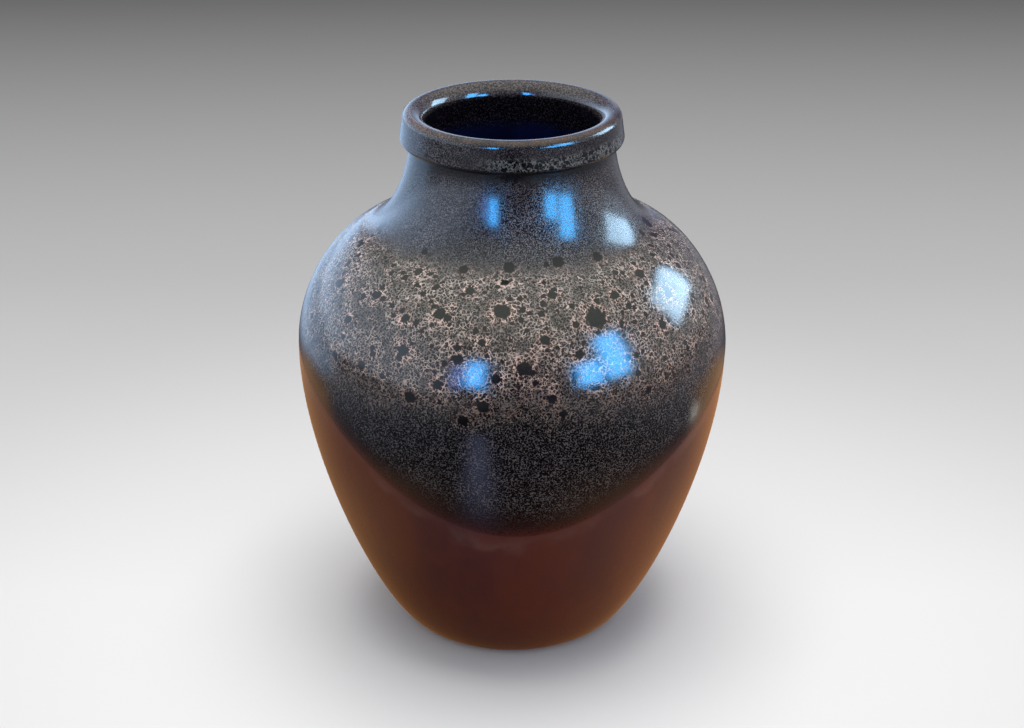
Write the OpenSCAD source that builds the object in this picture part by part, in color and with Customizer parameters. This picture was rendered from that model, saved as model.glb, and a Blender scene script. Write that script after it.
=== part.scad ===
// Stoneware jar-shaped vase, thrown in sections that are luted together,
// then coated with a slip, a liner glaze and an outer glaze.
// Origin at the centre of the foot, +Z up, front towards -Y.

/* [Body] */
// Height from the foot to the top of the lip
vase_h = 300; // [280:1:320]
// Diameter of the belly over the glaze
belly_d = 238; // [225:0.5:250]
// Height of the belly's widest line
belly_z = 166; // [155:1:175]
// Upright run of the curve just below the belly
belly_pull_low = 61.5; // [50:0.5:70]
// Upright run of the curve just above the belly
belly_pull_high = 37.5; // [30:0.5:42]

/* [Shoulder and neck] */
// Diameter where the shoulder turns up into the neck
turn_d = 162.5; // [156:0.5:168]
// Height of that turn
turn_z = 234; // [228:1:238]
// Slope of the shoulder at the turn, in degrees
turn_slope = 20; // [15:1:28]
// Length of the slope on the shoulder side of the turn
turn_pull_low = 14.5; // [10:0.5:18]
// Length of the slope on the neck side of the turn
turn_pull_high = 19.5; // [15:0.5:22]
// Diameter of the neck under the collar
neck_d = 110.5; // [106:0.5:114]
// Height of the crease under the collar, below the lip
crease_drop = 17; // [15:0.5:19]
// Upright run of the neck below the crease
neck_pull = 12; // [6:0.5:16]

/* [Collar and lip] */
// Widest diameter of the collar
collar_d = 120; // [118:0.5:122]
// Diameter of the collar where the lip starts to round over
collar_top_d = 117.2; // [117:0.2:119]
// Rounding of the collar's lower edge
collar_low_round = 3; // [2:0.5:4]
// Rounding of the lip's outer edge
lip_out_round = 4; // [3:0.2:4.2]
// Rounding of the lip's inner edge
lip_in_round = 7.6; // [5:0.2:7.8]
// Diameter of the mouth at its narrowest
mouth_d = 92.8; // [90:0.2:93]

/* [Foot] */
// Diameter of the foot on the ground
foot_d = 124.5; // [118:0.5:130]
// Angle of the wall above the ground at the foot, in degrees
foot_lean = 35; // [30:1:42]
// Length over which the wall keeps that angle
foot_pull = 22.5; // [18:0.5:26]
// Width of the ring that touches the ground
foot_ring_w = 9; // [7:0.5:11]
// Extra width of the ring where it meets the floor
foot_ring_flare = 4; // [2:0.5:6]
// Bevel on the ring's outer and inner ground edges
foot_bevel = 1.2; // [0.8:0.2:1.6]

/* [Clay walls] */
// Thickness of the floor
floor_t = 9; // [8:0.5:11]
// Radius of the flat middle of the floor inside
floor_flat_r = 42; // [36:1:46]
// Thickness of the wall at the belly
wall_belly_t = 7; // [6:0.5:8]
// Thickness of the wall at the turn
wall_turn_t = 6.5; // [6:0.5:7.5]
// Thickness of the wall under the collar
wall_neck_t = 4.4; // [4:0.2:5]
// Height of the luting ridge in each joint
lute_h = 1.6; // [1:0.2:2]

/* [Glaze and slip] */
// Thickness of the outer glaze
glaze_t = 0.5; // [0.4:0.05:0.7]
// Thickness of the liner glaze
liner_t = 0.5; // [0.4:0.05:0.7]
// Thickness of the slip on the lower wall
slip_t = 0.25; // [0.15:0.05:0.35]
// Height of the glaze line at the front and the back
glaze_low_z = 97; // [90:1:105]
// Height of the glaze line at the two sides
glaze_side_z = 164; // [155:1:170]
// Sideways lean of the glaze line, in degrees
glaze_lean = 2.4; // [0:0.2:4]

/* [Hidden] */
$fn = 128;

LOW_STEPS = 18;    // pieces of the curve from the foot to the belly
HIGH_STEPS = 12;   // pieces of the curve from the belly to the turn
NECK_STEPS = 10;   // pieces of the curve from the turn to the crease
FLOOR_STEPS = 14;  // pieces of the curve inside the base
ROUND_STEPS = 6;   // pieces of each edge rounding
RING_STEP = 2;     // curve point at which the foot ring meets the base
SLIP_STEP = 1;     // curve point at which the slip stops above the ground
COAT_STEP = 9;     // curve point below the lowest part of the glaze line

crease_z = vase_h - crease_drop;
foot_r = foot_d / 2;
belly_r = belly_d / 2;
turn_r = turn_d / 2;
neck_r = neck_d / 2;
collar_r = collar_d / 2;
collar_top_r = collar_top_d / 2;
mouth_r = mouth_d / 2;

// A point on a cubic curve, and the direction outwards from it
function curve_at(k, t) =
    pow(1 - t, 3) * k[0] + 3 * pow(1 - t, 2) * t * k[1]
    + 3 * (1 - t) * t * t * k[2] + pow(t, 3) * k[3];
function curve_dir(k, t) =
    pow(1 - t, 2) * (k[1] - k[0]) + 2 * (1 - t) * t * (k[2] - k[1])
    + t * t * (k[3] - k[2]);
function outward(d) = [d[1], -d[0]] / norm(d);

// Points on a curve, each moved inwards by a depth that runs from a to b
function curve_line(k, n, a, b, first = 0) =
    [for (i = [first:n]) let (t = i / n)
        curve_at(k, t) - outward(curve_dir(k, t)) * (a + (b - a) * t)];

// Points on a quarter of a circle
function quarter(c, r, from) =
    [for (i = [0:ROUND_STEPS]) let (a = from + 90 * i / ROUND_STEPS)
        c + r * [cos(a), sin(a)]];

// The line across a joint, from the outer face to the inner one, with a ridge
function lute(o, i) =
    let (m = [o[1] - i[1], i[0] - o[0]] / norm(i - o))
    [o, o + (i - o) / 3, (o + i) / 2 - m * lute_h, i + (o - i) / 3, i];

function reversed(v) = [for (i = [len(v) - 1:-1:0]) v[i]];
function last(v) = v[len(v) - 1];

// Outer curves of the finished vase
lower = [[foot_r, 0], [foot_r, 0] + foot_pull * [cos(foot_lean), sin(foot_lean)],
         [belly_r, belly_z - belly_pull_low], [belly_r, belly_z]];
slope = [-cos(turn_slope), sin(turn_slope)];
upper = [[belly_r, belly_z], [belly_r, belly_z + belly_pull_high],
         [turn_r, turn_z] - turn_pull_low * slope, [turn_r, turn_z]];
throat = [[turn_r, turn_z], [turn_r, turn_z] + turn_pull_high * slope,
          [neck_r, crease_z - neck_pull], [neck_r, crease_z]];

// The collar's outer face and flat lip, moved inwards by a depth
function collar_line(d) = concat(
    [[neck_r - d, crease_z + d]],
    quarter([collar_r - collar_low_round, crease_z + collar_low_round],
            collar_low_round - d, -90),
    quarter([collar_top_r - lip_out_round, vase_h - lip_out_round],
            lip_out_round - d, 0),
    [[mouth_r + lip_in_round, vase_h - d]]);

// The lip's inner face, moved inwards by a depth, from the top to the neck
function lip_line(d, neck_in) = concat(
    quarter([mouth_r + lip_in_round, vase_h - lip_in_round], lip_in_round - d, 90),
    [[neck_in, crease_z + glaze_t]]);

// Faces of the clay
clay_low = curve_line(lower, LOW_STEPS, glaze_t, glaze_t);
clay_high = curve_line(upper, HIGH_STEPS, glaze_t, glaze_t);
clay_neck = curve_line(throat, NECK_STEPS, glaze_t, glaze_t);
in_high = curve_line(upper, HIGH_STEPS, glaze_t + wall_belly_t, glaze_t + wall_turn_t);
in_neck = curve_line(throat, NECK_STEPS, glaze_t + wall_turn_t, glaze_t + wall_neck_t);
clay_neck_r = neck_r - glaze_t;
clay_throat_r = clay_neck_r - wall_neck_t;

// Foot ring and floor
ring_top = clay_low[RING_STEP];
ring_in_r = foot_r - foot_ring_w;
ring_in_top = [ring_in_r - foot_ring_flare, ring_top[1]];
floor_z = ring_top[1] + floor_t;
FLOOR_REACH = 74;  // radius at which the floor's flat tangent ends
BOWL_PULL = 76;    // upright run of the inner wall below the belly
bowl = [[floor_flat_r, floor_z], [FLOOR_REACH, floor_z],
        [in_high[0][0], belly_z - BOWL_PULL], in_high[0]];
in_low = curve_line(bowl, FLOOR_STEPS, 0, 0);

// Joints between the sections
joint_foot = lute(ring_top, ring_in_top);
joint_belly = lute(last(clay_low), in_high[0]);
joint_turn = lute(last(clay_high), last(in_high));
joint_neck = lute([clay_neck_r, crease_z + glaze_t], [clay_throat_r, crease_z + glaze_t]);

// Inner face of the liner glaze
line_low = curve_line(bowl, FLOOR_STEPS, liner_t, liner_t);
line_high = curve_line(upper, HIGH_STEPS, glaze_t + wall_belly_t + liner_t,
                       glaze_t + wall_turn_t + liner_t);
line_neck = curve_line(throat, NECK_STEPS, glaze_t + wall_turn_t + liner_t,
                       glaze_t + wall_neck_t + liner_t);

// The horizontal drum whose side is the glaze line's edge: its radius and the
// height of its axis pass through the low line at the front and the high sides
function wall_r(z, i = 0) =
    let (a = curve_at(lower, i / LOW_STEPS), b = curve_at(lower, (i + 1) / LOW_STEPS))
    b[1] >= z ? a[0] + (b[0] - a[0]) * (z - a[1]) / (b[1] - a[1]) : wall_r(z, i + 1);
low_r = wall_r(glaze_low_z);
drum_z = (glaze_side_z + glaze_low_z - low_r * low_r / (glaze_side_z - glaze_low_z)) / 2;
drum_r = glaze_side_z - drum_z;
DRUM_L = 320;      // longer than the vase is wide

module turned(outline) rotate_extrude() polygon(outline);

module glaze_edge_drum()
    translate([0, 0, drum_z]) rotate([0, 90 + glaze_lean, 0])
        cylinder(h = DRUM_L, r = drum_r, center = true);

module foot_ring() color("#6b4330") turned(concat(
    [[foot_r - foot_bevel, 0], clay_low[0] + [0.4, foot_bevel]],
    [for (i = [1:RING_STEP - 1]) clay_low[i]],
    joint_foot,
    [[ring_in_r - foot_bevel, foot_bevel], [ring_in_r, 0]]));

module base_section() color("#7a4a34") turned(concat(
    [[0, ring_top[1]]], reversed(joint_foot),
    [for (i = [RING_STEP + 1:LOW_STEPS - 1]) clay_low[i]],
    joint_belly,
    [for (i = [FLOOR_STEPS - 1:-1:0]) in_low[i]],
    [[0, floor_z]]));

module shoulder_section() color("#80503a") turned(concat(
    reversed(joint_belly),
    [for (i = [1:HIGH_STEPS - 1]) clay_high[i]],
    joint_turn,
    [for (i = [HIGH_STEPS - 1:-1:1]) in_high[i]]));

module neck() color("#865640") turned(concat(
    reversed(joint_turn),
    [for (i = [1:NECK_STEPS]) clay_neck[i]],
    joint_neck,
    [for (i = [NECK_STEPS:-1:1]) in_neck[i]]));

module rim_collar() color("#7d5844") turned(concat(
    reversed(joint_neck),
    [for (i = [1:len(collar_line(0)) - 1]) collar_line(glaze_t)[i]],
    [for (i = [1:ROUND_STEPS]) lip_line(glaze_t, clay_throat_r)[i]]));

module inner_glaze() color("#1c1f26") turned(concat(
    [[0, floor_z]], in_low,
    [for (i = [1:HIGH_STEPS]) in_high[i]],
    [for (i = [1:NECK_STEPS]) in_neck[i]],
    reversed(lip_line(glaze_t, clay_throat_r)),
    lip_line(0, clay_throat_r - liner_t),
    reversed(line_neck),
    [for (i = [HIGH_STEPS - 1:-1:0]) line_high[i]],
    [for (i = [FLOOR_STEPS - 1:-1:0]) line_low[i]],
    [[0, floor_z + liner_t]]));

module iron_slip() color("#6d3a28") intersection() {
    turned(concat(
        curve_line(lower, LOW_STEPS, glaze_t - slip_t, glaze_t - slip_t, SLIP_STEP),
        [for (i = [1:HIGH_STEPS / 2])
            curve_line(upper, HIGH_STEPS, glaze_t - slip_t, glaze_t - slip_t)[i]],
        [for (i = [HIGH_STEPS / 2:-1:1]) clay_high[i]],
        [for (i = [LOW_STEPS:-1:SLIP_STEP]) clay_low[i]]));
    glaze_edge_drum();
}

module outer_glaze() color("#3b4152") difference() {
    turned(concat(
        curve_line(lower, LOW_STEPS, 0, 0, COAT_STEP),
        [for (i = [1:HIGH_STEPS]) curve_line(upper, HIGH_STEPS, 0, 0)[i]],
        [for (i = [1:NECK_STEPS]) curve_line(throat, NECK_STEPS, 0, 0)[i]],
        [for (i = [1:len(collar_line(0)) - 1]) collar_line(0)[i]],
        reversed(collar_line(glaze_t)),
        [for (i = [NECK_STEPS:-1:1]) clay_neck[i]],
        [for (i = [HIGH_STEPS:-1:1]) clay_high[i]],
        [for (i = [LOW_STEPS:-1:COAT_STEP]) clay_low[i]]));
    glaze_edge_drum();
}

foot_ring();
base_section();
shoulder_section();
neck();
rim_collar();
inner_glaze();
iron_slip();
outer_glaze();
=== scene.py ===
"""Stoneware jar-shaped vase: bare clay foot, brown slip below, oil-spot glaze above."""
from math import cos, pi, radians, sin, tau
from random import Random

import bpy
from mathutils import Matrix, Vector


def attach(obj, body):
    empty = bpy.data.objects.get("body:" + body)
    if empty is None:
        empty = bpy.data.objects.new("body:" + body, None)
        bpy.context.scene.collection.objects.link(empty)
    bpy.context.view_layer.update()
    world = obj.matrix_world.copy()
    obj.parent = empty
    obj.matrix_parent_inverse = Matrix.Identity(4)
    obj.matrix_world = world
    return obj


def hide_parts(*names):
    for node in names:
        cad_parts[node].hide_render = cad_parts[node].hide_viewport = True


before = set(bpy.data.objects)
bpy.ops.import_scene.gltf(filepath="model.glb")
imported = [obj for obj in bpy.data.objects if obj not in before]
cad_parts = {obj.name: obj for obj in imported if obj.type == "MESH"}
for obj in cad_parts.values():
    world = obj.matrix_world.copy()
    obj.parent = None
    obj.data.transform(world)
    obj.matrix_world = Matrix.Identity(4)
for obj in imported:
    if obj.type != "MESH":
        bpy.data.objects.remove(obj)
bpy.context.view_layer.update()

# --------------------------------------------------------------------------
# Camera: a portrait-length lens a metre away, looking down at the shoulder so
# that the mouth shows as an open ellipse.
lens = bpy.data.cameras.new("viewpoint")
lens.lens, lens.sensor_width = 65.0, 36.0
tilt_down, stand_off, aim_height = radians(24.98), 1.0425, 0.1508
viewpoint = bpy.data.objects.new("viewpoint", lens)
bpy.context.collection.objects.link(viewpoint)
aim = Vector((0.0, 0.0, aim_height))
viewpoint.location = aim + stand_off * Vector((0, -cos(tilt_down), sin(tilt_down)))
viewpoint.rotation_euler = (pi / 2 - tilt_down, 0, 0)
bpy.context.scene.camera = viewpoint
bpy.context.scene.view_settings.view_transform = "Standard"


# --------------------------------------------------------------------------
# Studio: a pale floor that runs back into shade, a large soft light overhead,
# and window panes that only show as reflections in the glaze.
def add_node(tree, kind, inputs=None, **settings):
    """Adds a node, sets it up, and links or sets its inputs."""
    made = tree.nodes.new(kind)
    for name, value in settings.items():
        setattr(made, name, value)
    for key, value in (inputs or {}).items():
        if isinstance(value, bpy.types.NodeSocket):
            tree.links.new(value, made.inputs[key])
        else:
            made.inputs[key].default_value = value
    return made


def calc(tree, operation, *values, clamp=False):
    """A Math node on sockets and numbers; gives its output."""
    return add_node(tree, "ShaderNodeMath", dict(enumerate(values)),
                    operation=operation, use_clamp=clamp).outputs[0]


def vcalc(tree, operation, a, b=None, scale=None):
    """A Vector Math node; gives the output that the operation fills."""
    inputs = {0: a}
    if b is not None:
        inputs[1] = b
    if scale is not None:
        inputs[3] = scale
    made = add_node(tree, "ShaderNodeVectorMath", inputs, operation=operation)
    return made.outputs["Value" if operation in ("LENGTH", "DOT_PRODUCT") else "Vector"]


def ramp(tree, value, low, high, to_low=0.0, to_high=1.0, smooth=True):
    """Maps a value between two ends to another range, held at both ends."""
    made = add_node(tree, "ShaderNodeMapRange",
                    {0: value, 1: low, 2: high, 3: to_low, 4: to_high},
                    interpolation_type="SMOOTHSTEP" if smooth else "LINEAR")
    return made.outputs[0]


def blend(tree, amount, a, b):
    """Mixes two colours."""
    made = add_node(tree, "ShaderNodeMix", {0: amount, 6: a, 7: b}, data_type="RGBA")
    return made.outputs[2]


def both(tree, first, *others):
    """Where all of the masks hold: their product."""
    for other in others:
        first = calc(tree, "MULTIPLY", first, other)
    return first


def either(tree, first, *others):
    """Where any of the masks holds: the largest."""
    for other in others:
        first = calc(tree, "MAXIMUM", first, other)
    return first


def apart_from(tree, mask, hole):
    """Where the first mask holds and the second does not."""
    return calc(tree, "MULTIPLY", mask, calc(tree, "SUBTRACT", 1.0, hole))


def grey(level):
    """A grey with no hue, as linear light."""
    return (level, level, level, 1.0)


def tint(red, green, blue):
    """A colour given as it looks on a screen, 0 to 255, made linear."""
    linear = [c / 255 for c in (red, green, blue)]
    linear = [c / 12.92 if c <= 0.04045 else ((c + 0.055) / 1.055) ** 2.4 for c in linear]
    return (*linear, 1.0)


def fresh_material(name):
    """An empty material with its output and its Principled shader."""
    material = bpy.data.materials.new(name)
    material.use_nodes = True
    tree = material.node_tree
    tree.nodes.clear()
    finish = add_node(tree, "ShaderNodeBsdfPrincipled")
    add_node(tree, "ShaderNodeOutputMaterial", {"Surface": finish.outputs[0]})
    return material, tree, finish


floor_half = 6.0
floor_mesh = bpy.data.meshes.new("floor")
floor_mesh.from_pydata([(x * floor_half, y * floor_half, 0) for x, y in
                        ((-1, -1), (1, -1), (1, 1), (-1, 1))], [], [(0, 1, 2, 3)])
floor = bpy.data.objects.new("floor", floor_mesh)
bpy.context.collection.objects.link(floor)
floor_paint = bpy.data.materials.new("pale_floor")
floor_paint.use_nodes = True
tree = floor_paint.node_tree
tree.nodes.clear()
on_floor = add_node(tree, "ShaderNodeTexCoord").outputs["Object"]
floor_part = add_node(tree, "ShaderNodeSeparateXYZ", {0: on_floor}).outputs
rightwards, backwards = floor_part["X"], floor_part["Y"]
aside = calc(tree, "ABSOLUTE", rightwards)
from_axis = vcalc(tree, "LENGTH", on_floor)

# The floor as it is seen: painted shade makes it pale in front and darker
# towards the back, and painted light lifts it a little close round the foot,
# where the vase's shadow falls
shade_from, shade_to = -0.4, 1.6
painted_falloff = add_node(tree, "ShaderNodeValToRGB", {
    0: ramp(tree, backwards, shade_from, shade_to, smooth=False)})
stops = painted_falloff.color_ramp.elements
stops[0].position, stops[0].color = 0.10, grey(0.65)
stops[1].position, stops[1].color = 0.95, grey(0.125)
for place, level in ((0.2, 0.64), (0.45, 0.41)):
    stops.new(place).color = grey(level)
painted_foot_light = 1.24
painted_light_round_foot = both(tree, ramp(tree, from_axis, 0.070, 0.105, 1.0, painted_foot_light),
              ramp(tree, from_axis, 0.10, 0.50, 1.0, 1 / painted_foot_light))
seen = add_node(tree, "ShaderNodeBsdfDiffuse", {
    "Color": vcalc(tree, "SCALE", painted_falloff.outputs[0], scale=painted_light_round_foot)})


def light_pool(bearing, near, far, half_width, spread, edge):
    """A painted pool of window light that lies on the floor along one bearing."""
    toward = (sin(radians(bearing)), -cos(radians(bearing)), 0)
    across = (toward[1], -toward[0], 0)
    away = vcalc(tree, "DOT_PRODUCT", on_floor, toward)
    sideways = calc(tree, "ABSOLUTE", vcalc(tree, "DOT_PRODUCT", on_floor, across))
    sideways = calc(tree, "SUBTRACT", sideways, calc(tree, "MULTIPLY", away, spread))
    return both(tree, ramp(tree, sideways, half_width - edge, half_width + edge, 1.0, 0.0),
                ramp(tree, away, near - edge, near + edge),
                ramp(tree, away, far - edge, far + edge, 1.0, 0.0))


# Painted reflections: below the horizon the glaze mirrors the floor's own glow,
# a dark floor with painted pools of window light and a painted warm glow round the foot
dark_floor_reflection, side_floor_reflection = (0.040, 0.038, 0.052, 1), (0.34, 0.36, 0.42, 1)
middle_glow, left_glow = (0.07, 0.036, 0.024, 1), (0.60, 0.34, 0.17, 1)
right_glow = (0.66, 0.38, 0.20, 1)
mirrored = blend(tree, ramp(tree, aside, 0.15, 0.60), dark_floor_reflection, side_floor_reflection)
for bearing, near, far, half_width, spread, edge, colour in (
        (-132, 0.56, 9.0, 0.05, 0.60, 0.16, (0.75, 1.05, 1.50, 1)),
        (-15, 0.15, 0.45, 0.025, 0.0, 0.025, (0.58, 0.68, 1.20, 1)),
        (102, 0.31, 0.37, 0.02, 0.0, 0.02, (3.2, 3.3, 3.1, 1))):
    pool = light_pool(bearing, near, far, half_width, spread, edge)
    mirrored = blend(tree, pool, mirrored, colour)
behind_foot = both(tree, ramp(tree, backwards, 0.02, 0.12), ramp(tree, backwards, 0.24, 0.38, 1.0, 0.0),
                   ramp(tree, aside, 0.04, 0.12), ramp(tree, aside, 0.35, 0.60, 1.0, 0.0))
near_foot = either(tree, ramp(tree, from_axis, 0.14, 0.30, 1.0, 0.0), behind_foot)
on_right = ramp(tree, rightwards, 0.00, 0.22)
glow = blend(tree, ramp(tree, rightwards, -0.20, -0.06, 1.0, 0.0), middle_glow, left_glow)
glow = blend(tree, on_right, glow, right_glow)
gleam = add_node(tree, "ShaderNodeEmission", {"Color": blend(tree, near_foot, mirrored, glow)})

# Painted bounce light: the floor glows onto the wall of the vase, little on
# the left, more on the right
bounce = add_node(tree, "ShaderNodeEmission", {
    "Color": blend(tree, on_right, (0.16, 0.075, 0.046, 1), (0.80, 0.43, 0.24, 1))})
ray = add_node(tree, "ShaderNodeLightPath").outputs
unseen = add_node(tree, "ShaderNodeMixShader", {
    0: ray["Is Glossy Ray"], 1: bounce.outputs[0], 2: gleam.outputs[0]})
floor_look = add_node(tree, "ShaderNodeMixShader", {
    0: ray["Is Camera Ray"], 1: unseen.outputs[0], 2: seen.outputs[0]})
add_node(tree, "ShaderNodeOutputMaterial", {"Surface": floor_look.outputs[0]})
floor_mesh.materials.append(floor_paint)

# The room round the vase: dim walls straight ahead and behind, brighter ones to
# the sides, a pale ceiling, and a tall window behind on the left
world = bpy.data.worlds.new("room")
bpy.context.scene.world = world
world.use_nodes = True
tree = world.node_tree
tree.nodes.clear()
outlook = add_node(tree, "ShaderNodeTexCoord").outputs["Generated"]
facing = add_node(tree, "ShaderNodeSeparateXYZ", {0: outlook}).outputs
left_wall, right_wall = (1.15, 1.40, 1.80, 1), (0.74, 0.80, 0.90, 1)
dim_wall, ceiling, window_sky = (0.16, 0.16, 0.26, 1), (0.95, 1.0, 0.92, 1), (1.5, 2.1, 3.0, 1)
side_walls = blend(tree, ramp(tree, facing["X"], -0.30, 0.30), left_wall, right_wall)
walls = blend(tree, ramp(tree, calc(tree, "ABSOLUTE", facing["X"]), 0.35, 0.90), dim_wall, side_walls)
room_glint = blend(tree, ramp(tree, facing["Z"], 0.35, 0.90), walls, ceiling)
tall_window = both(tree, ramp(tree, vcalc(tree, "DOT_PRODUCT", outlook, (-0.60, 0.78, 0.10)), 0.50, 1.0),
                   ramp(tree, facing["Z"], 0.06, 0.42, 1.0, 0.0))
room_glint = blend(tree, tall_window, room_glint, window_sky)
air = add_node(tree, "ShaderNodeBackground", {
    "Color": blend(tree, add_node(tree, "ShaderNodeLightPath").outputs["Is Glossy Ray"],
                   (0.76, 0.76, 0.78, 1), room_glint), "Strength": 1.0})
add_node(tree, "ShaderNodeOutputWorld", {"Surface": air.outputs[0]})


def hang_light(name, turn, rise, away, width, height, power, colour, gloss_only):
    """A rectangular light that faces the vase, placed by its bearing and rise."""
    lamp = bpy.data.lights.new(name, "AREA")
    lamp.shape, lamp.size, lamp.size_y = "RECTANGLE", width, height
    lamp.energy, lamp.color = power, colour
    made = bpy.data.objects.new(name, lamp)
    bpy.context.collection.objects.link(made)
    bearing, climb = radians(turn), radians(rise)
    toward = Vector((sin(bearing) * cos(climb), -cos(bearing) * cos(climb), sin(climb)))
    made.location = Vector((0, 0, lit_height)) + away * toward
    made.rotation_euler = toward.to_track_quat("Z", "Y").to_euler()
    made.visible_diffuse, made.visible_glossy = not gloss_only, gloss_only


lit_height, softbox_away, pane_away = 0.2, 2.2, 2.4
hang_light("overhead_softbox", 160, 87, softbox_away, 1.6, 1.6, 34, (1.0, 0.99, 0.97), False)
for name, turn, rise, width, height, power, colour in (
        ("left_pane", -19, 16, 0.36, 0.72, 27, (0.05, 0.40, 1.0)),
        ("left_blind", -28, 13, 0.24, 0.60, 3, (0.16, 0.32, 1.0)),
        ("middle_low_pane", 40, 12, 0.52, 0.62, 32, (0.05, 0.42, 1.0)),
        ("middle_tall_pane", 56, 19, 0.58, 1.20, 62, (0.06, 0.44, 1.0)),
        ("right_pane", 114, 21, 1.15, 0.90, 44, (0.46, 0.74, 1.0))):
    hang_light(name, turn, rise, pane_away, width, height, power, colour, True)


# --------------------------------------------------------------------------
# Clay sections: red-brown stoneware thrown in four sections and a foot ring,
# luted together and fired. Bare at the foot, coated everywhere else.
def new_effect(name, ins, outs):
    """A shader node group with named inputs and outputs."""
    group = bpy.data.node_groups.new(name, "ShaderNodeTree")
    for side, sockets in (("INPUT", ins), ("OUTPUT", outs)):
        for label, kind, value in sockets:
            made = group.interface.new_socket(name=label, in_out=side,
                                              socket_type="NodeSocket" + kind)
            if value is not None:
                made.default_value = value
    return (group, group.nodes.new("NodeGroupInput").outputs,
            group.nodes.new("NodeGroupOutput").inputs)


def use_effect(tree, group, inputs):
    """Places an effect in a material and gives its outputs."""
    return add_node(tree, "ShaderNodeGroup", inputs, node_tree=group).outputs


def surface_mm(tree):
    """Where a point is on the vase, in millimetres."""
    place = add_node(tree, "ShaderNodeTexCoord").outputs["Object"]
    return vcalc(tree, "SCALE", place, scale=1000.0)


def nudged(tree, value, noise, amount):
    """A value moved up and down by a noise that swings about a half."""
    swing = calc(tree, "MULTIPLY", calc(tree, "SUBTRACT", noise, 0.5), amount)
    return calc(tree, "ADD", value, swing)


def roughen(tree, finish, height, strength, depth):
    """A fine relief on the surface, at most as deep as the depth in metres."""
    relief = add_node(tree, "ShaderNodeBump", {
        "Strength": strength, "Distance": depth, "Height": height})
    tree.links.new(relief.outputs[0], finish.inputs["Normal"])


# Fired grain: fine sand in the body, with soft drifts of darker and paler clay
grain, into, out = new_effect(
    "fired_grain",
    [("Vector", "Vector", None), ("Grain size", "Float", 0.8), ("Drift size", "Float", 40.0)],
    [("Grain", "Float", None), ("Drift", "Float", None), ("Specks", "Float", None)])
fine = add_node(grain, "ShaderNodeTexNoise", {
    "Vector": into["Vector"], "Scale": calc(grain, "DIVIDE", 1.0, into["Grain size"]),
    "Detail": 3.0, "Roughness": 0.6})
drift = add_node(grain, "ShaderNodeTexNoise", {
    "Vector": into["Vector"], "Scale": calc(grain, "DIVIDE", 1.0, into["Drift size"]),
    "Detail": 3.0, "Roughness": 0.55})
speck = add_node(grain, "ShaderNodeTexVoronoi", {
    "Vector": into["Vector"], "Scale": calc(grain, "DIVIDE", 0.28, into["Grain size"])})
grain.links.new(fine.outputs[0], out["Grain"])
grain.links.new(drift.outputs[0], out["Drift"])
grain.links.new(ramp(grain, speck.outputs["Distance"], 0.10, 0.22, 1.0, 0.0), out["Specks"])

bare_clay, tree, finish = fresh_material("bare_stoneware")
sand = use_effect(tree, grain, {"Vector": surface_mm(tree), "Grain size": 0.5, "Drift size": 22.0})
clay_colour = blend(tree, ramp(tree, sand["Drift"], 0.35, 0.65), tint(104, 60, 42), tint(132, 82, 58))
clay_colour = blend(tree, calc(tree, "MULTIPLY", sand["Specks"], 0.6), clay_colour, tint(58, 36, 28))
tree.links.new(clay_colour, finish.inputs["Base Color"])
tree.links.new(ramp(tree, sand["Grain"], 0.3, 0.7, 0.72, 0.9), finish.inputs["Roughness"])
roughen(tree, finish, sand["Grain"], 0.5, 0.00015)
for node in ("foot_ring", "base_section", "shoulder_section", "neck", "rim_collar"):
    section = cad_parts[node]
    section.data.materials.clear()
    section.data.materials.append(bare_clay)


# --------------------------------------------------------------------------
# Turned coats: slip, liner and glaze all follow the thrown curve. Each one is
# an outline, in radius and height, that is turned round the vase's axis.
MM = 0.001

# The outside of the finished wall, in millimetres; the thickness of its coats
# and clay; the lying drum that cuts the glaze line; and the glaze's soft edge
foot_r, foot_lean, foot_pull = 62.25, radians(35), 22.5
belly_r, belly_z, belly_pull_low, belly_pull_high = 119.0, 166.0, 61.5, 37.5
turn_r, turn_z, turn_slope, turn_pull_low, turn_pull_high = 81.25, 234.0, radians(20), 14.5, 19.5
neck_r, crease_z, neck_pull, top_z = 55.25, 283.0, 12.0, 300.0
collar_r, collar_top_r, collar_low_round, lip_out_round = 60.0, 58.6, 3.0, 4.0
mouth_r, lip_in_round = 46.4, 7.6
glaze_t, liner_t, slip_t = 0.5, 0.5, 0.25
wall_belly_t, wall_turn_t, wall_neck_t = 7.0, 6.5, 4.4
drum_r, drum_z, drum_lean = 120.5, 43.45, radians(2.4)
feather_width, feather_depth = 14.0, 0.30

weld_distance, sharp_edge = 0.000002, radians(50)


def pull(curve, steps, start=0.0):
    """Points along one pull of the wall, each with its outward direction."""
    line = []
    for i in range(steps + 1):
        t = start + (1 - start) * i / steps
        s = 1 - t
        r, z = [s**3 * curve[0][a] + 3 * s * s * t * curve[1][a] + 3 * s * t * t * curve[2][a]
                + t**3 * curve[3][a] for a in (0, 1)]
        run, climb = [s * s * (curve[1][a] - curve[0][a]) + 2 * s * t * (curve[2][a] - curve[1][a])
                      + t * t * (curve[3][a] - curve[2][a]) for a in (0, 1)]
        size = (run**2 + climb**2) ** 0.5
        line.append((r, z, climb / size, -run / size))
    return line


def rounding(centre_r, centre_z, radius, start, turn, steps):
    """Points round an edge, from a start angle in degrees."""
    outwards = 1 if turn > 0 else -1
    line = []
    for i in range(steps + 1):
        angle = radians(start + turn * i / steps)
        line.append((centre_r + radius * cos(angle), centre_z + radius * sin(angle),
                     outwards * cos(angle), outwards * sin(angle)))
    return line


def sunk(line, depth, last_depth=None):
    """The same line moved inwards, by a depth that may change along it."""
    last_depth = depth if last_depth is None else last_depth
    moved = []
    for i, (r, z, out_r, out_z) in enumerate(line):
        inwards = depth + (last_depth - depth) * i / (len(line) - 1)
        moved.append((r - out_r * inwards, z - out_z * inwards, out_r, out_z))
    return moved


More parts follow.
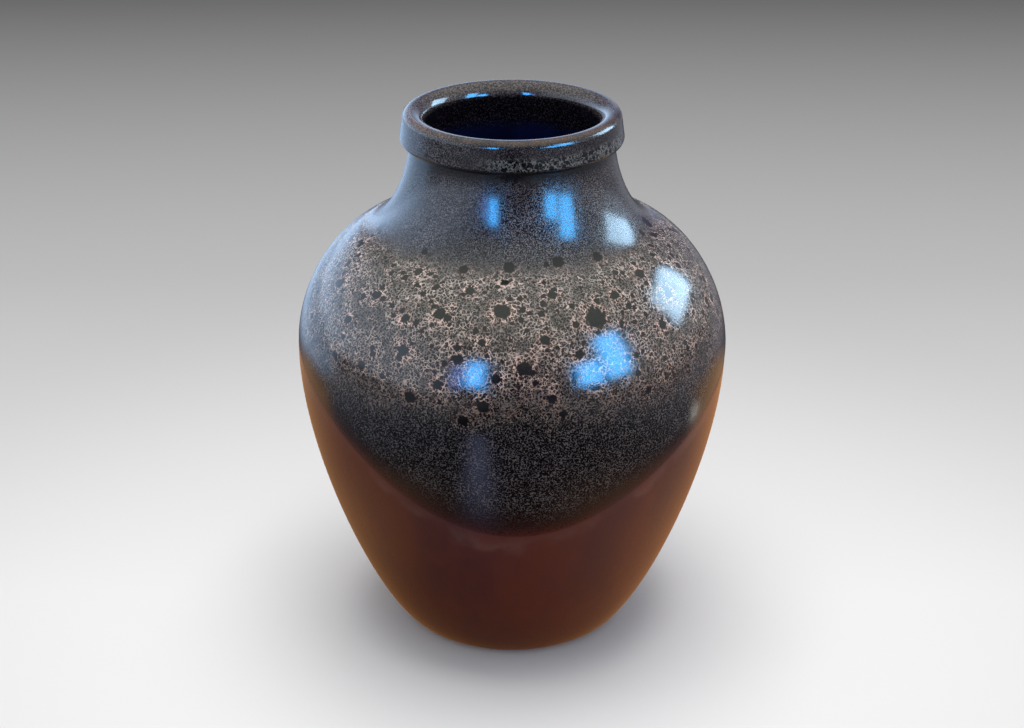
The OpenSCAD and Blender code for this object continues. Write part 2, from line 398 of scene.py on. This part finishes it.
lower = [(foot_r, 0), (foot_r + foot_pull * cos(foot_lean), foot_pull * sin(foot_lean)),
         (belly_r, belly_z - belly_pull_low), (belly_r, belly_z)]
upper = [(belly_r, belly_z), (belly_r, belly_z + belly_pull_high),
         (turn_r + turn_pull_low * cos(turn_slope), turn_z - turn_pull_low * sin(turn_slope)),
         (turn_r, turn_z)]
throat = [(turn_r, turn_z),
          (turn_r - turn_pull_high * cos(turn_slope), turn_z + turn_pull_high * sin(turn_slope)),
          (neck_r, crease_z - neck_pull), (neck_r, crease_z)]


def read_stored(tree, name, kind):
    """A value that was stored on the mesh under a name."""
    return add_node(tree, "GeometryNodeInputNamedAttribute", {"Name": name}, data_type=kind).outputs[0]


def read_point(tree, mesh, index, value, kind):
    """A value taken from one point of another mesh."""
    return add_node(tree, "GeometryNodeSampleIndex", {
        "Geometry": mesh, "Value": value, "Index": index}, data_type=kind, domain="POINT").outputs[0]


def store(tree, mesh, name, value, kind, domain):
    """Stores a value on the mesh under a name."""
    return add_node(tree, "GeometryNodeStoreNamedAttribute", {
        "Geometry": mesh, "Name": name, "Value": value}, data_type=kind, domain=domain).outputs[0]


def turned(tree, flat, angle):
    """Turns a point of the outline round the vertical axis."""
    part = add_node(tree, "ShaderNodeSeparateXYZ", {0: flat}).outputs
    forwards = calc(tree, "MULTIPLY", calc(tree, "COSINE", angle), -1.0)
    return add_node(tree, "ShaderNodeCombineXYZ", {
        0: calc(tree, "MULTIPLY", part[0], calc(tree, "SINE", angle)),
        1: calc(tree, "MULTIPLY", part[0], forwards), 2: part[2]}).outputs[0]


def past_drum(tree, point, centre, axis, radius):
    """How far a point is outside the lying drum that cuts the glaze line."""
    arm = vcalc(tree, "SUBTRACT", point, centre)
    along = vcalc(tree, "SCALE", axis, scale=vcalc(tree, "DOT_PRODUCT", arm, axis))
    off_axis = vcalc(tree, "LENGTH", vcalc(tree, "SUBTRACT", arm, along))
    return calc(tree, "SUBTRACT", off_axis, radius)


def turning_tree():
    """Turns an outline round the vertical axis, feathers a coat's edge towards
    the glaze line, and stores how far each point is from the nearest big spot."""
    tree = bpy.data.node_groups.new("turned_coat", "GeometryNodeTree")
    sockets = {}
    for label, kind in (("Outline", "Geometry"), ("Steps around", "Int"),
                        ("Line drum radius", "Float"), ("Line drum height", "Float"),
                        ("Line lean", "Float"), ("Feather width", "Float"),
                        ("Feather depth", "Float"), ("Spots", "Object"),
                        ("Finish", "Material")):
        sockets[label] = tree.interface.new_socket(
            name=label, in_out="INPUT", socket_type="NodeSocket" + kind).identifier
    tree.interface.new_socket(name="Coat", in_out="OUTPUT", socket_type="NodeSocketGeometry")
    into = tree.nodes.new("NodeGroupInput").outputs
    position = add_node(tree, "GeometryNodeInputPosition").outputs[0]

    # A flat grid with one row for each point of the outline
    rows = add_node(tree, "GeometryNodeAttributeDomainSize", {0: into["Outline"]}).outputs[0]
    columns = calc(tree, "ADD", into["Steps around"], 1.0)
    grid = add_node(tree, "GeometryNodeMeshGrid", {
        "Size X": 1.0, "Size Y": 1.0, "Vertices X": rows, "Vertices Y": columns}).outputs
    index = add_node(tree, "GeometryNodeInputIndex").outputs[0]
    row = calc(tree, "FLOOR", calc(tree, "DIVIDE", calc(tree, "ADD", index, 0.5), columns))
    column = calc(tree, "SUBTRACT", index, calc(tree, "MULTIPLY", row, columns))
    angle = calc(tree, "MULTIPLY", calc(tree, "DIVIDE", column, into["Steps around"]), tau)

    # Each point goes to its place on the outline, turned round the axis
    here = turned(tree, read_point(tree, into["Outline"], row, position, "FLOAT_VECTOR"), angle)
    outwards = turned(tree, read_point(tree, into["Outline"], row, read_stored(
        tree, "outwards", "FLOAT_VECTOR"), "FLOAT_VECTOR"), angle)
    thins = read_point(tree, into["Outline"], row, read_stored(tree, "thins", "FLOAT"), "FLOAT")

    # The coat sinks into the wall as it nears the glaze line
    axis = add_node(tree, "ShaderNodeCombineXYZ", {
        0: calc(tree, "COSINE", into["Line lean"]),
        2: calc(tree, "MULTIPLY", calc(tree, "SINE", into["Line lean"]), -1.0)}).outputs[0]
    centre = add_node(tree, "ShaderNodeCombineXYZ", {2: into["Line drum height"]}).outputs[0]
    above = past_drum(tree, here, centre, axis, into["Line drum radius"])
    cover = ramp(tree, above, 0.0, into["Feather width"])
    sink = both(tree, calc(tree, "SUBTRACT", cover, 1.0), thins, into["Feather depth"])
    placed = add_node(tree, "GeometryNodeSetPosition", {
        "Geometry": grid["Mesh"], "Position": here,
        "Offset": vcalc(tree, "SCALE", outwards, scale=sink)}).outputs[0]
    laid = store(tree, placed, "OFBake", grid["UV Map"], "FLOAT2", "CORNER")

    # How many spot radii away the nearest big spot is, up to a limit
    marks = add_node(tree, "GeometryNodeObjectInfo", {"Object": into["Spots"]}).outputs["Geometry"]
    nearest = add_node(tree, "GeometryNodeSampleNearest", {"Geometry": marks}, domain="POINT").outputs[0]
    mark_at = read_point(tree, marks, nearest, position, "FLOAT_VECTOR")
    mark_r = read_point(tree, marks, nearest, read_stored(tree, "spot_r", "FLOAT"), "FLOAT")
    gap = vcalc(tree, "LENGTH", vcalc(tree, "SUBTRACT", position, mark_at))
    smallest_r, furthest = 0.0001, 6.0
    near = calc(tree, "DIVIDE", gap, calc(tree, "MAXIMUM", mark_r, smallest_r))
    spotted = store(tree, laid, "big_spot", calc(tree, "MINIMUM", near, furthest), "FLOAT", "POINT")

    joined = add_node(tree, "GeometryNodeMergeByDistance", {
        "Geometry": spotted, "Distance": weld_distance})
    smooth = add_node(tree, "GeometryNodeSetShadeSmooth", {"Geometry": joined.outputs[0]})
    real = add_node(tree, "GeometryNodeRealizeInstances", {"Geometry": smooth.outputs[0]})
    skin = add_node(tree, "GeometryNodeSetMaterial", {
        "Geometry": real.outputs[0], "Material": into["Finish"]})
    add_node(tree, "NodeGroupOutput", {0: skin.outputs[0]})
    return tree, sockets


turned_coat, coat_sockets = turning_tree()


def turn_coat(name, outline, thins, steps, finish_material, spots=None):
    """Turns an outline, closed or ending on the axis, into one plain mesh piece."""
    mesh = bpy.data.meshes.new(name + "_outline")
    mesh.from_pydata([(r * MM, 0, z * MM) for r, z, _, _ in outline],
                     [(i, i + 1) for i in range(len(outline) - 1)], [])
    mesh.attributes.new("outwards", "FLOAT_VECTOR", "POINT")
    mesh.attributes.new("thins", "FLOAT", "POINT")
    for i, (_, _, out_r, out_z) in enumerate(outline):
        mesh.attributes["outwards"].data[i].vector = (out_r, 0, out_z)
        mesh.attributes["thins"].data[i].value = thins[i]
    source = bpy.data.objects.new(name + "_outline", mesh)
    bpy.context.collection.objects.link(source)
    modifier = source.modifiers.new("turn", "NODES")
    modifier.node_group = turned_coat
    for label, value in (("Steps around", steps), ("Line drum radius", drum_r * MM),
                         ("Line drum height", drum_z * MM), ("Line lean", drum_lean),
                         ("Feather width", feather_width * MM),
                         ("Feather depth", feather_depth * MM),
                         ("Spots", spots), ("Finish", finish_material)):
        modifier[coat_sockets[label]] = value
    bpy.context.view_layer.update()
    ready = source.evaluated_get(bpy.context.evaluated_depsgraph_get())
    plain = bpy.data.meshes.new_from_object(ready)
    plain.name = name
    bpy.data.objects.remove(source)
    piece = bpy.data.objects.new(name, plain)
    bpy.context.collection.objects.link(piece)
    # A coat that was turned inside out has a volume below nothing
    if sum(f.center.dot(f.normal) * f.area for f in plain.polygons) < 0:
        plain.flip_normals()
    plain.set_sharp_from_angle(angle=sharp_edge)
    return piece


# --------------------------------------------------------------------------
# Glaze line: where the dipped glaze stops. It hangs lowest at the front and the
# back, rises to the sides, and sits a little lower on the right.
line_effect, into, out = new_effect(
    "above_glaze_line", [("Vector", "Vector", None)], [("Above", "Float", None)])
drum_axis = (cos(drum_lean), 0, -sin(drum_lean))
line_effect.links.new(
    past_drum(line_effect, into["Vector"], (0, 0, drum_z), drum_axis, drum_r), out["Above"])

# --------------------------------------------------------------------------
# Iron slip: a thin iron-rich wash brushed over the lower wall, satin red-brown
# after firing. It runs on under the glaze.
wash_effect, into, out = new_effect(
    "slip_wash", [("Vector", "Vector", None), ("Drift", "Float", 0.5)], [("Color", "Color", None)])
strokes = add_node(wash_effect, "ShaderNodeTexNoise", {
    "Vector": vcalc(wash_effect, "MULTIPLY", into["Vector"], (0.035, 0.035, 0.010)),
    "Scale": 1.0, "Detail": 3.0})
wash_colour = blend(wash_effect, ramp(wash_effect, strokes.outputs[0], 0.30, 0.70),
                    tint(76, 36, 37), tint(94, 44, 32))
wash_colour = blend(wash_effect, ramp(wash_effect, into["Drift"], 0.52, 0.85, 0.0, 0.35),
                    wash_colour, tint(116, 62, 36))
# Along the glaze line the wash gets a pale grey band: a painted soft highlight of the glaze's edge
above = use_effect(wash_effect, line_effect, {"Vector": into["Vector"]})["Above"]
drifted = nudged(wash_effect, above, into["Drift"], 16.0)
painted_edge_highlight = both(wash_effect, ramp(wash_effect, drifted, -5, 0), ramp(wash_effect, drifted, 0, 6, 1.0, 0.0),
            ramp(wash_effect, into["Drift"], 0.40, 0.62, 0.06, 0.34))
wash_effect.links.new(blend(wash_effect, painted_edge_highlight, wash_colour, tint(112, 92, 90)), out["Color"])

iron_slip, tree, finish = fresh_material("iron_slip_satin")
place = surface_mm(tree)
wash = use_effect(tree, grain, {"Vector": place, "Grain size": 1.1, "Drift size": 26.0})
tree.links.new(use_effect(tree, wash_effect, {"Vector": place, "Drift": wash["Drift"]})["Color"],
               finish.inputs["Base Color"])
tree.links.new(ramp(tree, wash["Grain"], 0.3, 0.7, 0.40, 0.50), finish.inputs["Roughness"])
finish.inputs["Sheen Weight"].default_value = 0.60
finish.inputs["Sheen Roughness"].default_value = 0.35
finish.inputs["Sheen Tint"].default_value = (1.0, 0.50, 0.16, 1)
roughen(tree, finish, wash["Grain"], 0.25, 0.0001)

# It starts just above the foot's edge and runs a little way up under the glaze
slip_start, steps_under_glaze, slip_steps = 0.056, 32, 256
slip_face = sunk(pull(lower, 110, slip_start) + pull(upper, 80)[1:steps_under_glaze + 1],
                 glaze_t - slip_t)
slip_ring = slip_face + sunk(slip_face[::-4], slip_t) + slip_face[:1]
slip_coat = turn_coat("iron_slip_coat", slip_ring, [0.0] * len(slip_ring), slip_steps, iron_slip)
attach(slip_coat, "root")
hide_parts("iron_slip")

# --------------------------------------------------------------------------
# Liner glaze: poured in and swirled round, glossy blue-black, from the inner
# edge of the lip down the neck and over the whole floor.
liner_glaze, tree, finish = fresh_material("liner_glaze_gloss")
place = surface_mm(tree)
pool = use_effect(tree, grain, {"Vector": place, "Grain size": 0.9, "Drift size": 30.0})
height = add_node(tree, "ShaderNodeSeparateXYZ", {0: place}).outputs["Z"]
throat_begins, edge_begins = (270, 281), (291, 296.5)
flecks = ramp(tree, pool["Grain"], 0.52, 0.62)
liner_colour = blend(tree, ramp(tree, pool["Drift"], 0.3, 0.7), tint(12, 18, 48), tint(20, 32, 84))
throat_colour = blend(tree, flecks, tint(11, 11, 20), tint(56, 50, 56))
liner_colour = blend(tree, ramp(tree, height, *throat_begins), liner_colour, throat_colour)
edge_colour = blend(tree, ramp(tree, pool["Grain"], 0.44, 0.58), tint(30, 29, 34), tint(92, 84, 84))
liner_colour = blend(tree, ramp(tree, height, *edge_begins), liner_colour, edge_colour)
tree.links.new(liner_colour, finish.inputs["Base Color"])
tree.links.new(ramp(tree, flecks, 0.0, 1.0, 0.09, 0.20), finish.inputs["Roughness"])
roughen(tree, finish, pool["Grain"], 0.6, 0.00003)

# The inside of the clay: a flat floor, a bowl, then the wall as thick as it was
# thrown. The hidden back of the coat needs only every third or fourth point.
upper_in = sunk(pull(upper, 60), glaze_t + wall_belly_t, glaze_t + wall_turn_t)
throat_in = sunk(pull(throat, 50), glaze_t + wall_turn_t, glaze_t + wall_neck_t)
floor_z, floor_flat_r, floor_reach, bowl_pull, liner_steps = 16.37, 42.0, 74.0, 76.0, 224
bowl = [(floor_flat_r, floor_z), (floor_reach, floor_z),
        (upper_in[0][0], belly_z - bowl_pull), upper_in[0][:2]]
clay_inside = pull(bowl, 90) + upper_in[1:] + throat_in[1:]
lip_turn = rounding(mouth_r + lip_in_round, top_z - lip_in_round, lip_in_round, 90, 90, 14)
lip_turn = [(r, z, -out_r, -out_z) for r, z, out_r, out_z in lip_turn]
liner_face = [(0, floor_z + liner_t, 0, -1)] + sunk(clay_inside, liner_t) + lip_turn[::-1]
liner_back = sunk(lip_turn, -glaze_t)[::3] + clay_inside[::-4] + [(0, floor_z, 0, -1)]
liner_ring = liner_face + liner_back
liner_coat = turn_coat("liner_glaze_coat", liner_ring, [0.0] * len(liner_ring), liner_steps, liner_glaze)
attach(liner_coat, "root")
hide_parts("inner_glaze")

# --------------------------------------------------------------------------
# Outer glaze: dark oil-spot glaze dipped over the lip, neck and shoulder. Pale
# crystals make a net between glossy dark spots.

# Crystal net: pale threads between rounded dark cells, with gaps here and there
net_effect, into, out = new_effect(
    "crystal_net",
    [("Vector", "Vector", None), ("Cell", "Float", 2.0), ("Thread", "Float", 0.16),
     ("Wander", "Float", 0.8), ("Gaps", "Float", 0.4)],
    [("Net", "Float", None), ("Patches", "Float", None)])
per_cell = calc(net_effect, "DIVIDE", 1.0, into["Cell"])
swirl = add_node(net_effect, "ShaderNodeTexNoise", {
    "Vector": into["Vector"], "Scale": calc(net_effect, "MULTIPLY", per_cell, 0.7), "Detail": 2.0})
sway = vcalc(net_effect, "SCALE", vcalc(net_effect, "SUBTRACT", swirl.outputs["Color"], (0.5, 0.5, 0.5)),
             scale=calc(net_effect, "MULTIPLY", into["Wander"], into["Cell"]))
cells = add_node(net_effect, "ShaderNodeTexVoronoi", {
    "Vector": vcalc(net_effect, "ADD", into["Vector"], sway), "Scale": per_cell},
    feature="DISTANCE_TO_EDGE")
patches = add_node(net_effect, "ShaderNodeTexNoise", {
    "Vector": into["Vector"], "Scale": calc(net_effect, "MULTIPLY", per_cell, 0.23), "Detail": 2.0})
thread = calc(net_effect, "MULTIPLY", into["Thread"],
              ramp(net_effect, patches.outputs[0], 0.3, 0.7, 0.55, 1.45, smooth=False))
off_thread = ramp(net_effect, cells.outputs["Distance"], calc(net_effect, "MULTIPLY", thread, 0.35), thread)
breaks = add_node(net_effect, "ShaderNodeTexNoise", {
    "Vector": into["Vector"], "Scale": calc(net_effect, "MULTIPLY", per_cell, 1.3), "Detail": 1.0})
kept = ramp(net_effect, breaks.outputs[0], calc(net_effect, "SUBTRACT", into["Gaps"], 0.06),
            calc(net_effect, "ADD", into["Gaps"], 0.10))
net_effect.links.new(apart_from(net_effect, kept, off_thread), out["Net"])
net_effect.links.new(patches.outputs[0], out["Patches"])

# Round spots: glossy dark dots of mixed sizes scattered through the net, each
# with a ring where the threads lie closer
dot_effect, into, out = new_effect(
    "scattered_dots",
    [("Vector", "Vector", None), ("Spacing", "Float", 5.5), ("Smallest", "Float", 0.12),
     ("Largest", "Float", 0.32), ("Share", "Float", 0.6)],
    [("Dots", "Float", None), ("Rings", "Float", None), ("Ragged", "Float", None)])
ragged = add_node(dot_effect, "ShaderNodeTexNoise", {
    "Vector": into["Vector"], "Scale": 0.5, "Detail": 1.0}).outputs[0]
dots = add_node(dot_effect, "ShaderNodeTexVoronoi", {
    "Vector": into["Vector"], "Scale": calc(dot_effect, "DIVIDE", 1.0, into["Spacing"])}).outputs
chance = add_node(dot_effect, "ShaderNodeSeparateXYZ", {0: dots["Color"]}).outputs
size = ramp(dot_effect, chance[0], 0.0, 1.0, into["Smallest"], into["Largest"], smooth=False)
size = calc(dot_effect, "MULTIPLY", size, calc(dot_effect, "LESS_THAN", chance[1], into["Share"]))
past_edge = calc(dot_effect, "SUBTRACT", nudged(dot_effect, dots["Distance"], ragged, 0.28), size)
dot_effect.links.new(ramp(dot_effect, past_edge, -0.06, 0.03, 1.0, 0.0), out["Dots"])
dot_effect.links.new(both(dot_effect, ramp(dot_effect, past_edge, 0.03, 0.22, 1.0, 0.0),
                          calc(dot_effect, "GREATER_THAN", size, 0.01)), out["Rings"])
dot_effect.links.new(ragged, out["Ragged"])

oil_spot, tree, finish = fresh_material("oil_spot_glaze")
place = surface_mm(tree)
part = add_node(tree, "ShaderNodeSeparateXYZ", {0: place}).outputs
side, height = part["X"], part["Z"]
above = use_effect(tree, line_effect, {"Vector": place})["Above"]
flow = use_effect(tree, grain, {"Vector": place, "Grain size": 1.3, "Drift size": 26.0})
sag = 22.0
level = nudged(tree, height, flow["Drift"], sag)
thickness = nudged(tree, above, flow["Drift"], 0.45 * sag)

# Heights, in millimetres, over which one kind of pattern gives way to the next:
# rich net on the shoulder, fine net below it, fine speckle on the neck, a
# spotted band low on the right half of the collar, and a thin brown lip
net_begins, olive_reflection_begins, neck_begins = (164, 194), (184, 202), (233, 245)
crease_shade_begins, crease_shade_ends, collar_begins = (274, 281), (284.5, 286), (284, 287)
band_begins, band_ends, band_reaches = (283.6, 284.6), (290, 294.5), (-34, 0)
lip_begins, lip_wears = (296.2, 298.6), (298.0, 299.4)
on_neck = ramp(tree, nudged(tree, height, flow["Drift"], 0.35 * sag), *neck_begins)
rich = apart_from(tree, ramp(tree, level, *net_begins), on_neck)
# Where the ground turns olive-grey: partly the glaze's own tone, partly a painted reflection of the pale
# room above
olive_reflection_zone = apart_from(tree, ramp(tree, level, *olive_reflection_begins), on_neck)
band = both(tree, ramp(tree, height, *band_begins), ramp(tree, side, *band_reaches),
            ramp(tree, nudged(tree, height, flow["Drift"], 0.2 * sag), *band_ends, 1.0, 0.0))
neck_mask = apart_from(tree, on_neck, band)
on_lip = ramp(tree, height, *lip_begins)
# Painted shade in the crease under the collar
painted_crease_shade = both(tree, ramp(tree, height, *crease_shade_begins), ramp(tree, height, *crease_shade_ends, 1.0, 0.0))

# Spots: the big ones, the dots between them, and beads in the collar's band
dotted = use_effect(tree, dot_effect, {"Vector": place, "Spacing": 5.4, "Smallest": 0.18,
                                       "Largest": 0.40, "Share": 0.8})
beaded = use_effect(tree, dot_effect, {"Vector": place, "Spacing": 3.4, "Smallest": 0.26,
                                       "Largest": 0.50, "Share": 0.95})
near_big = nudged(tree, add_node(tree, "ShaderNodeAttribute", attribute_name="big_spot").outputs["Fac"],
                  dotted["Ragged"], 0.6)
big = ramp(tree, near_big, 0.78, 1.04, 1.0, 0.0)
big_ring = ramp(tree, near_big, 1.05, 2.4, 1.0, 0.0)
dark_dots = either(tree, big, both(tree, dotted["Dots"], rich), both(tree, beaded["Dots"], band))
rings = either(tree, big_ring, both(tree, dotted["Rings"], 0.8))

# Pale crystals: a coarse net where the glaze is rich, a slight one elsewhere,
# and dust on the neck, collar and lip, heavier on the collar's left as a painted sheen
coarse = use_effect(tree, net_effect, {"Vector": place, "Cell": 1.9, "Thread": 0.105,
                                       "Wander": 0.6, "Gaps": 0.42})
slight = use_effect(tree, net_effect, {"Vector": place, "Cell": 1.3, "Thread": 0.15,
                                       "Wander": 0.7, "Gaps": 0.47})
clear = either(tree, both(tree, rich, ramp(tree, coarse["Patches"], 0.36, 0.56, 0.35, 1.0)),
               band, both(tree, rich, rings))
net = either(tree, both(tree, coarse["Net"], clear),
             both(tree, slight["Net"], ramp(tree, rich, 0, 1, 0.9, 0.40)))
net = both(tree, apart_from(tree, net, dark_dots), ramp(tree, thickness, 4, 22, 0.12, 1.0))
dusting = add_node(tree, "ShaderNodeTexNoise", {
    "Vector": place, "Scale": 1.7, "Detail": 2.0, "Roughness": 0.55}).outputs[0]
# More dust on the left of the collar and lip than on the right: partly the glaze's speckle, partly a
# painted sheen where light falls from the left
collar_dust_and_sheen = ramp(tree, side, -44, -8, 0.95, 0.42)
dust_and_sheen = both(tree, ramp(tree, dusting, 0.49, 0.60), ramp(tree, height, *collar_begins, 1.0, collar_dust_and_sheen),
            ramp(tree, flow["Drift"], 0.38, 0.60, 0.66, 1.0))
dust_and_sheen = apart_from(tree, dust_and_sheen, big)
pale = calc(tree, "ADD", apart_from(tree, net, neck_mask), both(tree, dust_and_sheen, neck_mask), clamp=True)

# Colours: pinkish threads up high, grey ones lower down, blue-grey on the neck
high_thread = blend(tree, rings, tint(176, 165, 159), tint(222, 196, 186))
thread_colour = blend(tree, rich, tint(100, 103, 111), high_thread)
thread_colour = blend(tree, on_neck, thread_colour, tint(116, 118, 128))
thread_colour = blend(tree, band, thread_colour, tint(118, 132, 140))
# The ground: blue-black low down, olive-grey higher on the shoulder (partly the glaze's own tone, partly a
# painted reflection of the pale room above), and blue-black on the neck
olive_ground_and_reflection = blend(tree, flow["Grain"], tint(14, 16, 16), tint(44, 47, 45))
ground_colour = blend(tree, olive_reflection_zone, tint(6, 6, 9), olive_ground_and_reflection)
ground_colour = blend(tree, on_neck, ground_colour, tint(7, 8, 19))
glaze_colour = blend(tree, pale, ground_colour, thread_colour)
# Painted shade: the crease under the collar is darkened to blue-black
glaze_colour = blend(tree, both(tree, painted_crease_shade, 0.9), glaze_colour, tint(6, 7, 18))
worn = both(tree, ramp(tree, height, *lip_wears), ramp(tree, flow["Drift"], 0.42, 0.66), 0.22)
lip_colour = blend(tree, dust_and_sheen, tint(30, 29, 33), tint(116, 106, 102))
lip_colour = blend(tree, worn, lip_colour, tint(140, 104, 78))
glaze_colour = blend(tree, on_lip, glaze_colour, lip_colour)

# The glaze thins out over the last centimetres above its line, and the slip
# shows through it there
thinned = nudged(tree, ramp(tree, thickness, -6, 25, smooth=False), flow["Grain"], 0.5)
cover = both(tree, ramp(tree, thinned, 0.08, 0.85), ramp(tree, above, 0, 5))
under_colour = use_effect(tree, wash_effect, {"Vector": place, "Drift": flow["Drift"]})["Color"]
veil = both(tree, ramp(tree, above, 0.5, 10), 0.70)
under_colour = blend(tree, veil, under_colour, tint(36, 28, 28))
tree.links.new(blend(tree, cover, under_colour, glaze_colour), finish.inputs["Base Color"])
glassy, crystal_dulling, slip_satin = 0.035, 0.09, 0.42
glaze_gloss = calc(tree, "ADD", glassy, calc(tree, "MULTIPLY", pale, crystal_dulling))
tree.links.new(calc(tree, "ADD", both(tree, glaze_gloss, cover), apart_from(tree, slip_satin, cover)),
               finish.inputs["Roughness"])
roughen(tree, finish, calc(tree, "ADD", both(tree, pale, 0.5), dusting), 0.8, 0.00004)

# Big spots. Those on the front are listed one by one, by bearing from the
# front in degrees, height and radius. The rest are scattered by chance.
big_spots = [(25, 219, 6.0), (-3, 224, 4.6), (3, 200, 4.0), (-7, 181, 3.6), (-26, 181, 3.6),
             (-30, 203, 3.8), (-32, 217, 2.8), (37, 239, 3.2), (48, 230, 3.4), (19, 240, 3.6),
             (-1, 239, 3.6), (-64, 219, 3.4), (-14, 231, 3.0), (-19, 237, 2.8), (9, 212, 2.8),
             (13, 230, 3.0), (-14, 203, 3.0), (-22, 221, 3.8), (-45, 222, 2.8), (-52, 207, 2.6),
             (54, 219, 3.4), (34, 226, 2.8), (46, 208, 3.0), (18, 205, 2.8), (-19, 190, 2.8),
             (-12, 173, 3.0), (10, 185, 2.8), (-42, 190, 3.0), (62, 227, 3.0), (-36, 234, 2.6),
             (-4, 195, 2.9)]
luck = Random(11)
for count, bearings, heights, radii in ((22, (75, 285), (180, 240), (2.6, 4.6)),
                                        (90, (0, 360), (176, 242), (1.5, 2.6))):
    big_spots += [(luck.uniform(*bearings), luck.uniform(*heights), luck.uniform(*radii))
                  for _ in range(count)]
outer_line = pull(lower, 120) + pull(upper, 90)[1:] + pull(throat, 80)[1:]


def on_wall(bearing, height):
    """The point on the finished wall at a bearing from the front and a height."""
    r, z = min(outer_line, key=lambda point: abs(point[1] - height))[:2]
    return (r * MM * sin(radians(bearing)), -r * MM * cos(radians(bearing)), z * MM)


spot_marks = bpy.data.meshes.new("spot_marks")
spot_marks.from_pydata([on_wall(bearing, height) for bearing, height, _ in big_spots], [], [])
spot_sizes = spot_marks.attributes.new("spot_r", "FLOAT", "POINT")
for i, (_, _, spot_r) in enumerate(big_spots):
    spot_sizes.data[i].value = spot_r * MM
spots = bpy.data.objects.new("spot_marks", spot_marks)
bpy.context.collection.objects.link(spots)

# The coat's outline: up the wall from a little below the glaze line, round the
# glaze pooled in the crease, over the collar and lip, and back along the clay
glaze_start, pooled, glaze_steps = 0.58, 1.5, 320
low_edge = (collar_r - collar_low_round, crease_z + collar_low_round, collar_low_round, -90, 90)
lip_edge = (collar_top_r - lip_out_round, top_z - lip_out_round, lip_out_round, 0, 90)
glaze_face = (pull(lower, 56, glaze_start) + pull(upper, 84)[1:] + pull(throat, 60)[1:-2]
              + rounding(neck_r + pooled, crease_z - pooled, pooled, 180, -90, 6)
              + rounding(*low_edge, 8) + rounding(*lip_edge, 14)
              + [(mouth_r + lip_in_round, top_z, 0, 1)])
glaze_back = ([(mouth_r + lip_in_round, top_z - glaze_t, 0, 1)]
              + sunk(rounding(*lip_edge, 6), glaze_t)[::-1]
              + sunk(rounding(*low_edge, 6), glaze_t)[::-1]
              + [(neck_r - glaze_t, crease_z + glaze_t, 1, 0)]
              + sunk(pull(throat, 16), glaze_t)[::-1]
              + sunk(pull(upper, 20), glaze_t)[-2::-1]
              + sunk(pull(lower, 14, glaze_start), glaze_t)[-2::-1])
glaze_ring = glaze_face + glaze_back + glaze_face[:1]
# Only the face thins towards the glaze line, and its first points dip into the slip
glaze_thins = [1.6, 1.4, 1.2] + [1.0] * (len(glaze_face) - 3)
glaze_thins += [0.0] * len(glaze_back) + glaze_thins[:1]
glaze_coat = turn_coat("oil_spot_glaze_coat", glaze_ring, glaze_thins, glaze_steps, oil_spot, spots)
bpy.data.objects.remove(spots)
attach(glaze_coat, "root")
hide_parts("outer_glaze")
